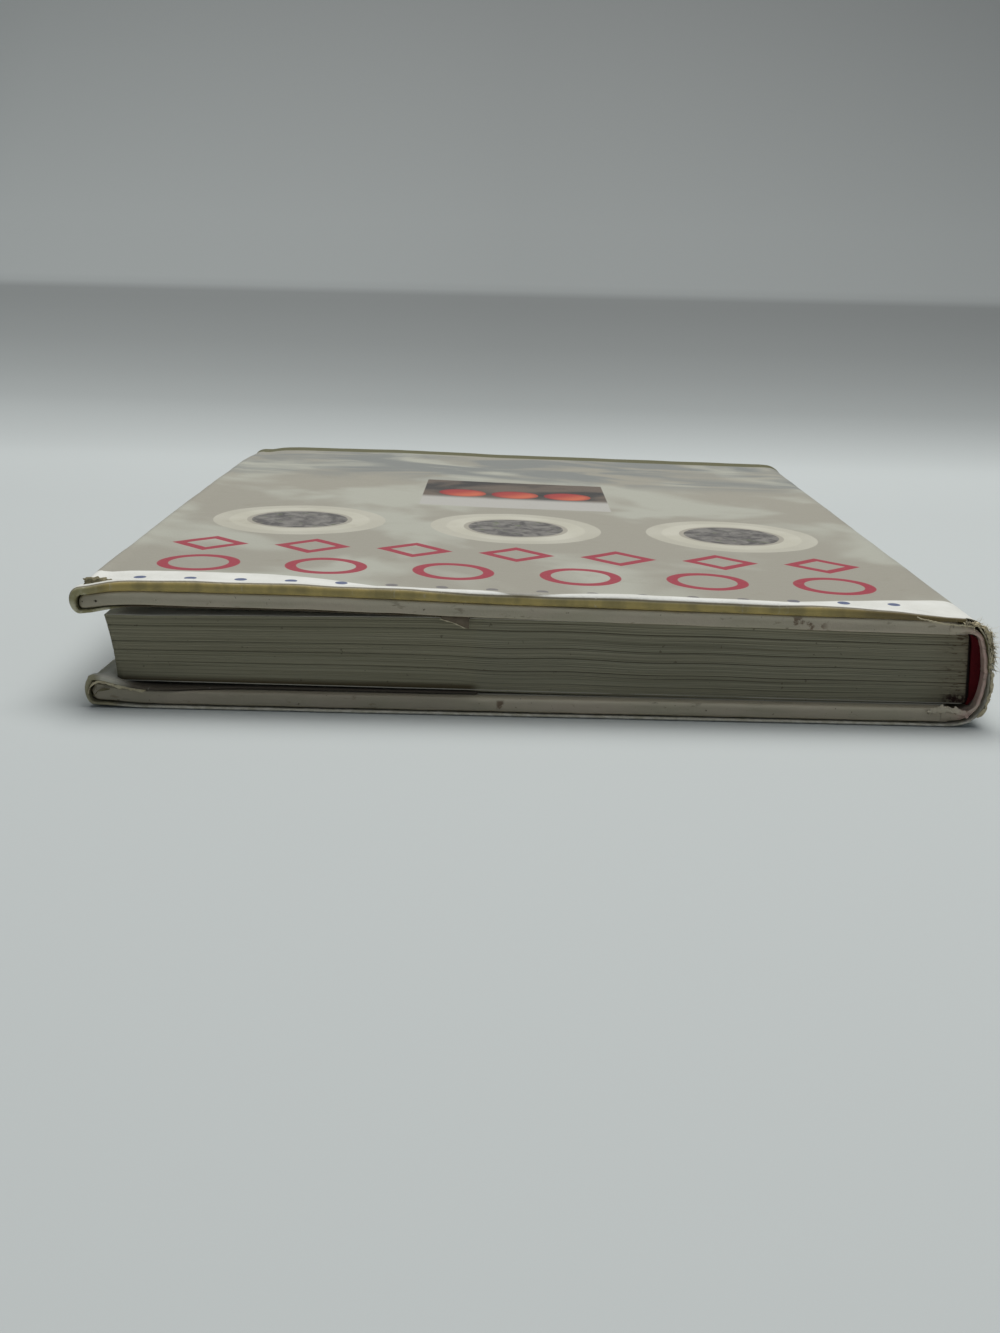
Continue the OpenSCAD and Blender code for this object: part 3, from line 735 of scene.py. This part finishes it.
def case_spine():
    """Covering over the spine and through the joints, in two halves, one for the front joint and one for the back."""
    upper = [(105.6, 25.25), (107.6, 25.25), (110.0, 25.1), (112.2, 24.4), (113.7, 22.9), (114.7, 20.6), (115.0, 19.0),
             (115.45, 16.6), (115.75, 14.0)]
    lower = [(115.75, 14.0), (115.65, 10.8), (115.2, 7.6), (114.3, 5.2), (112.9, 3.6), (110.8, 2.9), (108.0, 2.85),
             (105.6, 2.85)]
    half = COVER_H / 2
    y = np.concatenate([np.linspace(-half, -half + 6, 12), np.linspace(-half + 6, half - 6, 90)[1:-1],
                        np.linspace(half - 6, half, 8)])
    end_t = np.exp(-((half - np.abs(y)) / 0.9) ** 2)
    for side, line, nodes in (("front", upper, ["spine_covering"]), ("back", lower, [])):
        c = spline(line, 0.55)
        run = np.linspace(0, 1, len(c))
        p = np.empty((len(c), len(y), 3))
        p[..., 0], p[..., 2] = c[:, None, 0], c[:, None, 1]
        p[..., 1] = y[None, :]
        far = run[:, None] * 14
        buckle = 0.16 * lumps(far, y[None, :], (1.6, 9), 61) + 0.1 * lumps(far, y[None, :], (0.8, 2.5), 62)
        from_board = run if side == "front" else 1 - run
        p[..., 0] += buckle * ease(from_board, 0.1, 0.4)[:, None]
        thick = 3.1 - 2.1 * ease(from_board, 0.12, 0.5)
        thick = thick[:, None] * (0.5 + 0.35 * np.maximum(end_t[None, :], ease(from_board, 0.3, 0.05)[:, None]))
        obj = paper_sheet("case_spine_" + side, p, thick, [CASE] * 3)
        fit(obj, side + "_joint", "case_paper", *nodes)


def jacket_half(name, line, gap, roll_head, roll_tail, short, late, sheet_u, mats, seed, keep=None, droop=None):
    """Half of the jacket: its section, swept from the strip folded in at the head to the one at the tail."""
    t = np.gradient(line, axis=0)
    t /= np.linalg.norm(t, axis=1, keepdims=True)
    normal = np.stack([-t[:, 1], t[:, 0]], -1)
    ys, hs, yellow = [], [], []
    strip = np.linspace(0, 1, 7)
    turn = np.linspace(0, math.pi, 17)
    down = np.linspace(0, 1, 13)[1:]
    panel = np.linspace(-1, 1, 112)[1:-1]
    for i in range(len(line)):
        for sign, r in ((-1, roll_head[i]), (1, roll_tail[i])):
            yc = HALF_H - 0.12 - r - short[i]
            rag = 0.6 * lumps(sheet_u[i], 0, 2.2, seed + 9)
            y_in = HALF_H - FOLD_W + rag + (yc - HALF_H + FOLD_W - rag) * strip[:-1]
            fade = 2.75 - late[i]
            y_arc = yc + r * np.sin(turn)
            h_arc = r - r * np.cos(turn)
            run = RUN - r if r > 0.6 else 4.0
            y_down = yc - run * down
            h_down = gap[i] + (2 * r - gap[i]) * (1 + np.cos(math.pi * down)) / 2
            y = np.concatenate([y_in, y_arc, y_down]) * sign
            h = np.concatenate([np.zeros(len(y_in)), h_arc, h_down])
            tone = np.concatenate([np.ones(len(y_in)), ease(turn, fade + 0.1, fade - 0.6), np.zeros(len(down))])
            if sign < 0:
                first_y, first_h, first_t, y0 = y, h, tone, y[-1]
            else:
                y1 = y[-1]
                mid = y0 + (y1 - y0) * (panel + 1) / 2
                ys.append(np.concatenate([first_y, mid, y[::-1]]))
                hs.append(np.concatenate([first_h, np.full(len(panel), gap[i]), h[::-1]]))
                yellow.append(np.concatenate([first_t, np.zeros(len(panel)), tone[::-1]]))
    ys, hs, yellow = np.array(ys), np.array(hs), np.array(yellow)
    u = np.broadcast_to(sheet_u[:, None], ys.shape)
    outer = np.clip(hs / 1.0, 0, 1)
    hs = hs + outer * (0.12 * lumps(u, ys, 17, seed) + 0.05 * lumps(u, ys, 5, seed + 1))
    hs = np.where(hs > 1.2, hs * (1 + 0.05 * lumps(u, ys, (9, 40), seed + 2)), hs)
    p = np.empty((*ys.shape, 3))
    p[..., 0] = line[:, None, 0] + normal[:, None, 0] * hs
    p[..., 2] = line[:, None, 1] + normal[:, None, 1] * hs
    p[..., 1] = ys + 0.12 * lumps(u, np.sign(ys) * 7, (12, 3), seed + 3) * (np.abs(ys) > 130)
    if droop is not None:
        p = droop(p)
    mask = keep(u, ys, hs) if keep else None
    return paper_sheet(name, p, 0.22, mats, vectors={"sheet": np.stack([u, ys, yellow], -1)}, keep=mask)


def level_line(start, end, step, z):
    """Level run of points in the section of the jacket."""
    x = np.arange(start, end, step)
    return np.column_stack([x, np.full(len(x), z)])


def cover_section(w, z_panel):
    """Flap, bend round the fore-edge and panel of the jacket, in the cover's own frame."""
    z_flap, out = -0.13, 0.35
    zc, hz = (z_panel + z_flap) / 2, (z_panel - z_flap) / 2
    flap = level_line(-w + FLAP_W, -w + 1, -3.0, z_flap)
    a = np.linspace(-90, 90, 17)
    bend = np.column_stack([-w + 1 - (out + 1) * np.cos(np.radians(a)), zc + hz * np.sin(np.radians(a))])
    return flap, bend, level_line(-w + 3.2, -5, 2.4, z_panel)


def arc_length(points):
    """Length along a line up to each of its points."""
    return np.concatenate([[0], np.cumsum(np.linalg.norm(np.diff(points, axis=0), axis=1))])


def jacket():
    """Dust jacket, in two halves that meet in the middle of the spine."""
    # Front half: flap, fore-edge, panel, joint and half of the spine
    flap, bend, panel = cover_section(FRONT_W, COVER_T + 0.14)
    own = np.concatenate([flap, bend, panel])
    placed = np.column_stack([own[:, 0], np.zeros(len(own)), own[:, 1]])
    world = tilted(placed)[:, [0, 2]]
    spine = spline([world[-1], (104.8, 27.2), (107.6, 27.12), (110.4, 26.8), (112.7, 25.75), (114.4, 23.8),
                    (115.7, 21.0), (116.3, 18.0), (116.75, 14.05)], 0.75)[1:]
    line = np.concatenate([world, spine])
    run = arc_length(line)
    at_panel = len(flap) + len(bend)
    u = run - run[at_panel] + own[at_panel, 0]
    is_flap = np.arange(len(line)) < len(flap)
    gap = np.where(is_flap, 0.26, 0.5 + 0.15 * ease(u, -4, 6))
    k = np.arange(len(line)) - len(flap)
    gap = np.where((k >= 0) & (k < len(bend)), 0.26 + 0.24 * ease(k, 0, len(bend)), gap)
    head = np.interp(u, (-217, -160, -130, -100, -60, -36, -14, -3), (1.36, 1.45, 1.38, 1.55, 1.62, 1.4, 0.95, 0.5))
    head = head * (1 + 0.035 * lumps(u, 0, 9, 71))
    head = np.where((k >= 0) & (k < len(bend)), 0.3 + 0.8 * ease(k, 0, len(bend)), head)
    head = np.where((k >= len(bend)) & (u < -205), 1.1 + (head - 1.1) * ease(u, -217, -205), head)
    head = np.where(is_flap, 0.14 + 0.16 * ease(k, -4, 0), head)
    full = np.where((k >= 0) & (k <= len(bend)), np.sin(math.pi * np.clip(k / len(bend), 0, 1)), 0.0)
    gap = gap + 1.3 * full
    tail = np.where(k >= 0, 0.14 + 0.46 * ease(k, 2, len(bend)) + 0.5 * full, 0.14)

    def torn(u, y, h):
        """The fold is worn through at the head of the spine, so that its two layers end apart."""
        uu, yy, hh = [(a[:-1, :-1] + a[1:, 1:]) / 2 for a in (u, y, h)]
        worn = (np.abs(yy) > 142.9 - 0.5 * lumps(uu, yy, (1.1, 5), 81)) & (uu > 2 + 2 * lumps(uu, hh * 4, 1.5, 82))
        split = (np.abs(yy) > 141.6) & (uu > 3) & (lumps(uu, hh * 3, (1.4, 2.0), 83) > 0.1)
        return ~(worn | split)

    short = np.where(is_flap, 2.2 * ease(k, -1, -5), 0.0)
    late = 0.45 * np.interp(u, (-135, -120, -45, -35), (0, 1, 1, 0))

    def settle(p):
        """The fore-edge of the jacket stands out further towards the tail."""
        out = 1.7 * ease(-p[..., 0], 108.5, 111.5) * ease(p[..., 1], -100, 70)
        p = front_droop(p)
        p[..., 0] -= out
        return p

    obj = jacket_half("jacket_front_half", line, gap, head, tail, short, late, u,
                      [FRONT_PRINT, JACKET_IN, JACKET_EDGE], 71, torn, settle)
    fit(obj, "front_joint", "jacket_paper", "jacket_front", "print_pale_band", "print_blue_dots", "print_red_rings",
        "print_red_lozenges", "print_plates", "print_servings", "print_picture", "print_fruit")

    # Back half: half of the spine, joint, panel, fore-edge and flap
    flap, bend, panel = cover_section(BACK_W, COVER_T + 0.45)
    own = np.concatenate([flap, bend, panel])[::-1]
    world = np.column_stack([SHEET_X + own[:, 0], BACK_Z - own[:, 1]])
    # The flap has sprung up from the board beside the fore-edge
    spring = 0.5 * np.exp(-((world[:, 0] + 104) / 6.5) ** 2) * (own[:, 1] < 0)
    world[:, 1] += spring
    spine = spline([(116.75, 14.05), (117.0, 10.6), (116.7, 7.2), (115.8, 4.6), (113.8, 2.3), (110.8, 1.05),
                    (107.6, 0.6), (104.6, 0.56), tuple(world[0])], 0.75)[:-1]
    line = np.concatenate([spine, world])
    run = arc_length(line)
    u = -run + run[len(spine)] - 6
    k = np.arange(len(line)) - len(spine) - len(panel)
    is_flap = k >= len(bend)
    gap = np.where(is_flap, 0.26, 0.26 + 0.45 * ease(u, 4, 12))
    head = np.where(k >= 0, 0.15 + 0.45 * ease(k, 0, len(bend)), 0.15 + 0.2 * ease(u, 4, 12))
    head = np.where(is_flap, 0.14 + 0.46 * ease(k, len(bend) + 4, len(bend)), head)

    def torn_back(u, y, h):
        """The same along the back half, less deep."""
        uu, yy, hh = [(a[:-1, :-1] + a[1:, 1:]) / 2 for a in (u, y, h)]
        return ~((np.abs(yy) > 142.9 - 0.5 * lumps(uu, yy, (1.1, 5), 91)) & (uu > 6 + 2 * lumps(uu, hh * 4, 1.5, 92)))

    short = np.where(is_flap, 3.5 * ease(k, len(bend) + 3, len(bend) + 12), 0.0)
    obj = jacket_half("jacket_back_half", line, gap, head, head, short, 0 * u, u,
                      [BACK_PRINT, JACKET_IN, JACKET_EDGE], 95, torn_back, back_lift)
    fit(obj, "back_joint", "jacket_paper", "jacket_back", "jacket_spine")


def ribbon(name, path, width, rough, seed, mats, body, across):
    """Crumpled strip of torn paper along a path, with ragged sides."""
    c = spline(path, 0.3)
    n = len(c)
    v = np.linspace(-0.5, 0.5, 9)
    along = np.arange(n) * 0.3
    wide = width * (0.8 + 0.35 * lumps(along, 0, 1.1, seed)) * ease(np.minimum(along, along[-1] - along), -0.4, 0.8)
    p = c[:, None, :] + np.array(across, float)[None, None, :] * (v[None, :] * wide[:, None])[..., None]
    for axis in range(3):
        p[..., axis] += rough * lumps(along[:, None], v[None, :] * width, (0.9, 0.7), seed + 1 + axis)
    uu, vv = np.broadcast_arrays(along[:-1, None], v[None, :-1])
    keep = np.abs(vv + 0.06) < 0.40 + 0.1 * lumps(uu, vv, (0.5, 9), seed + 7)
    keep |= lumps(uu, vv * 4, 0.6, seed + 8) > 0.2
    fit(paper_sheet(name, p, 0.16, mats, keep=keep), body, "jacket_paper")


def fibres(name, roots, reach, count, mats, body, seed):
    """Loose fibres at a worn edge."""
    rng = np.random.default_rng(seed)
    roots = spline(roots, 0.2)
    verts, faces = [], []
    for _ in range(count):
        start = roots[rng.integers(len(roots))] + rng.normal(0, 0.15, 3)
        way = np.array(reach) + rng.normal(0, 0.75, 3)
        way /= np.linalg.norm(way)
        bend = rng.normal(0, 0.5, 3)
        length, thick = rng.uniform(0.6, 2.3), rng.uniform(0.05, 0.11)
        first = len(verts)
        for k in range(6):
            f = k / 5
            at = start + (way * f + bend * f * f * 0.6) * length
            for a in (0, 2.094, 4.189):
                verts.append(at + thick * (1 - 0.7 * f) * np.array([math.cos(a), math.sin(a), math.sin(a + 1) * 0.6]))
        for k in range(5):
            a = first + k * 3
            for j in range(3):
                faces.append([a + j, a + (j + 1) % 3, a + 3 + (j + 1) % 3, a + 3 + j])
        faces.append([first + 2, first + 1, first])
        faces.append([len(verts) - 3, len(verts) - 2, len(verts) - 1])
    fit(make(name, verts, faces, mats), body, "jacket_paper")


def wear():
    """Torn and crumpled bits that the photograph shows at the head of the book."""
    torn, pale, case = [SCRAP] * 3, [CREAM] * 3, [CASE] * 3
    for name, body, mats, width, rough, seed, across, path in (
        ("corner_scrap_a", "front_cover", torn, 3.4, 0.2, 101, (0.1, 0.5, 0.8),
         [(-107.9, -141.0, 31.5), (-106.0, -141.4, 31.6), (-103.6, -141.8, 31.5), (-100.6, -142.0, 31.2)]),
        ("corner_scrap_b", "front_cover", torn, 2.9, 0.2, 111, (0.1, 0.8, 0.4),
         [(-108.6, -139.5, 32.0), (-105.8, -140.2, 32.0), (-103.0, -140.6, 31.9), (-100.2, -141.2, 31.5)]),
        ("peeled_edge", "front_joint", pale, 0.55, 0.15, 121, (0, 0, 1),
         [(97.0, -144.0, 28.1), (100.5, -144.1, 27.2), (104.0, -144.0, 26.6), (108.0, -143.9, 26.3),
          (111.5, -143.8, 26.1)]),
        ("back_corner_fold", "back_cover", pale, 0.9, 0.2, 131, (0.25, 0.1, 0.9),
         [(-107.6, -143.9, 3.4), (-107.3, -144.0, 5.2), (-105.6, -143.8, 6.6), (-102.5, -143.4, 6.1),
          (-98.5, -143.2, 5.2), (-93.5, -143.2, 4.5)]),
        ("back_corner_crease", "back_cover", torn, 1.1, 0.25, 141, (0.4, 0.0, 0.8),
         [(-106.2, -143.9, 3.0), (-105.4, -144.0, 4.2), (-104.0, -143.9, 4.9), (-102.4, -143.7, 5.0)]),
        ("spine_fray_front", "front_joint", pale, 1.5, 0.42, 151, (0.8, 0.1, 0.5),
         [(111.0, -143.6, 26.7), (113.2, -143.9, 26.2), (114.9, -144.0, 24.6), (115.9, -144.0, 22.0),
          (116.4, -144.0, 18.6), (116.9, -143.9, 15.2)]),
        ("spine_fray_back", "back_joint", pale, 1.0, 0.3, 161, (0.9, 0.1, -0.3),
         [(116.9, -143.9, 15.0), (117.3, -143.9, 11.5), (117.1, -143.8, 8.0), (116.3, -143.8, 5.0),
          (114.6, -143.7, 2.8)]),
        ("joint_crumple", "back_joint", case, 2.4, 0.35, 171, (0, 0, 1),
         [(102.0, -143.5, 3.7), (105.0, -143.7, 4.5), (108.0, -143.7, 4.5), (110.6, -143.6, 3.8), (112.6, -143.4, 2.9)]),
    ):
        ribbon(name, path, width, rough, seed, mats, body, across)
    for name, mats, count, seed, reach, roots in (
        ("spine_fibres_top", pale, 60, 181, (0.9, -0.3, 0.1),
         [(108.5, -143.9, 27.0), (112.0, -144.0, 26.7), (115.2, -144.1, 25.4)]),
        ("spine_fibres_side", pale, 90, 191, (0.75, -0.2, -0.45),
         [(115.4, -144.0, 25.0), (116.7, -144.0, 20.0), (117.2, -144.0, 15.0)]),
        ("spine_fibres_dark", torn, 45, 196, (0.5, -0.3, -0.6),
         [(115.2, -143.9, 24.8), (116.4, -143.9, 20.0), (117.0, -143.9, 15.0)]),
    ):
        fibres(name, roots, reach, count, mats, "front_joint", seed)
    # Corner of the front flap that hangs over the pages
    grid = np.array([[(-19.8, -141.9, 25.2), (-19.7, -142.0, 24.4)], [(-16.4, -141.9, 25.2), (-16.4, -142.1, 23.3)],
                     [(-12.9, -141.9, 25.1), (-12.9, -142.2, 22.1)]])
    fit(paper_sheet("flap_corner", grid, 0.2, [FLAP_CORNER, FLAP_CORNER, CREAM]), "front_cover", "jacket_paper")
    ribbon("flap_corner_edge", [(-20.2, -142.1, 24.5), (-17.0, -142.2, 23.6), (-13.8, -142.3, 22.3)],
           0.3, 0.05, 201, pale, "front_cover", (0, 0, 1))


def hollow_card():
    """Dark red card of the spine, seen in the hollow between the pages and the case."""
    ring = spline([(112.6, 22.9), (113.9, 21.8), (114.6, 19.9), (115.05, 17.0), (115.4, 13.0), (115.2, 9.6),
                   (114.5, 6.8), (113.2, 4.9)], 0.8)
    inner = np.column_stack([np.interp(ring[:, 1], (4.9, 7, 21, 22.9), (112.6, 113.2, 112.6, 112.0)), ring[:, 1]])
    half = COVER_H / 2 - 3.1
    verts, n = [], len(ring)
    for y in (-half, half):
        for line in (ring, inner):
            verts += [(x, y, z) for x, z in line]
    faces = []
    for i in range(n - 1):
        a, b, c, d = i, n + i, 2 * n + i, 3 * n + i
        faces += [[a, a + 1, b + 1, b], [c, d, d + 1, c + 1], [a, c, c + 1, a + 1], [b, b + 1, d + 1, d]]
    faces += [[0, n, 3 * n, 2 * n], [n - 1, 3 * n - 1, 4 * n - 1, 2 * n - 1]]
    faces = [f[::-1] for f in faces] if signed_volume(np.array(verts), faces) < 0 else faces
    obj = make("hollow_card", verts, faces, [INLAY], smooth=False)
    fit(obj, "book_block", "dark_red_card", "spine_inlay")


def flyleaf():
    """Loose half of the front endpaper, lying on the swollen pages."""
    x = np.linspace(FORE_X_TOP + 0.3, 111.5, 60)
    y = np.linspace(-PAGE_H / 2, PAGE_H / 2, 60)
    p = np.empty((60, 60, 3))
    p[..., 0], p[..., 1] = x[:, None], y[None, :]
    f = (x - FORE_X_TOP) / (PAGES_X_TOP - FORE_X_TOP)
    p[..., 2] = (FORE_Z_TOP + (PAGES_Z + PAGES_T - FORE_Z_TOP) * f + pages_swell(x) + 0.12)[:, None]
    obj = paper_sheet("front_leaf", p, 0.15, [ENDPAPER] * 3)
    fit(obj, "book_block", "endpaper", "front_flyleaf")


# Stage

CAMERA_AT = (-5 * MM, -487.6 * MM, 108 * MM)


def camera():
    """The photograph's view: low, from the head edge, turned a little about its own axis."""
    pitch = math.radians(15.43)
    roll = 0.0232
    forward = Vector((0, math.cos(pitch), -math.sin(pitch)))
    level = Vector((1, 0, 0))
    over = level.cross(forward)
    right = level * math.cos(roll) + over * math.sin(roll)
    up = over * math.cos(roll) - level * math.sin(roll)
    data = bpy.data.cameras.new("camera")
    data.sensor_width = 36
    data.lens = 38.8
    data.clip_start = 0.01
    obj = link("camera", data)
    axes = Matrix((right, up, -forward)).transposed().to_4x4()
    obj.matrix_world = Matrix.Translation(CAMERA_AT) @ axes
    bpy.context.scene.camera = obj


def area_light(name, place, target, size, power, colour):
    """Rectangular light turned towards a target."""
    data = bpy.data.lights.new(name, "AREA")
    data.shape = "RECTANGLE"
    data.size, data.size_y = size
    data.energy = power
    data.color = colour
    obj = link(name, data)
    obj.location = place
    obj.rotation_euler = (Vector(target) - Vector(place)).to_track_quat("-Z", "Y").to_euler()


def studio():
    """Soft light from above and behind, and a little of it from all round."""
    scene = bpy.context.scene
    scene.view_settings.view_transform = "Standard"
    world = bpy.data.worlds.new("studio")
    scene.world = world
    world.use_nodes = True
    sky = world.node_tree.nodes["Background"]
    sky.inputs["Color"].default_value = (0.8, 0.9, 1.0, 1)
    sky.inputs["Strength"].default_value = 0.175
    area_light("overhead", (0.14, 0.25, 1.5), (0, 0.03, 0), (1.5, 0.95), 30, (1, 0.99, 0.97))


def sweep():
    """Pale floor that curves up into a backdrop behind the book, with painted shade that greys it further back and
    painted light on its left side.
    """
    flat, radius, half, columns = 0.55, 0.7, 2.5, 21
    line = [(-1.5, 0.0), (-0.5, 0.0)] + [(y, 0.0) for y in np.linspace(-0.4, flat, 30)]
    line += [(flat + radius * math.sin(a), radius * (1 - math.cos(a))) for a in np.linspace(0, math.pi / 2, 90)[1:]]
    line.append((flat + radius, radius + 1.2))
    # Grey value of each strip, by its slope seen from the camera: painted shade that darkens the floor and backdrop
    # further back
    slopes = (-0.16, -0.13, -0.105, -0.09, -0.07, -0.05, -0.03, -0.018, -0.012, 0.03, 0.12, 0.19)
    greys = (0.485, 0.51, 0.385, 0.3, 0.245, 0.205, 0.18, 0.17, 0.26, 0.255, 0.215, 0.18)
    tone = [float(np.interp((z - 0.108) / (y + 0.4876) if y > -0.4 else -1, slopes, greys)) for y, z in line]
    xs = np.linspace(-half, half, columns)
    verts = [(x, y, z) for y, z in line for x in xs]
    faces = [(r * columns + c, r * columns + c + 1, (r + 1) * columns + c + 1, (r + 1) * columns + c)
             for r in range(len(line) - 1) for c in range(columns - 1)]
    mesh = bpy.data.meshes.new("floor")
    mesh.from_pydata(verts, [], faces)
    mesh.polygons.foreach_set("use_smooth", np.full(len(faces), True))
    # Painted light: the darker strips are made up to 28% lighter towards the left
    grey = [g * (1 + 0.28 * float(ease(-x, 0, 0.55)) * float(ease(g, 0.5, 0.3))) for g in tone for x in xs]
    mesh.attributes.new("grey", "FLOAT", "POINT").data.foreach_set("value", np.array(grey, np.float32))
    link("floor", mesh)
    t = Look("floor")
    grey = t.attribute("grey").outputs["Fac"]
    mesh.materials.append(t.finish(t.join(t.mul(grey, 0.94), grey, t.mul(grey, 0.995)), 0.7))


camera()
studio()
sweep()
pages()
covers()
case_spine()
hollow_card()
flyleaf()
jacket()
wear()
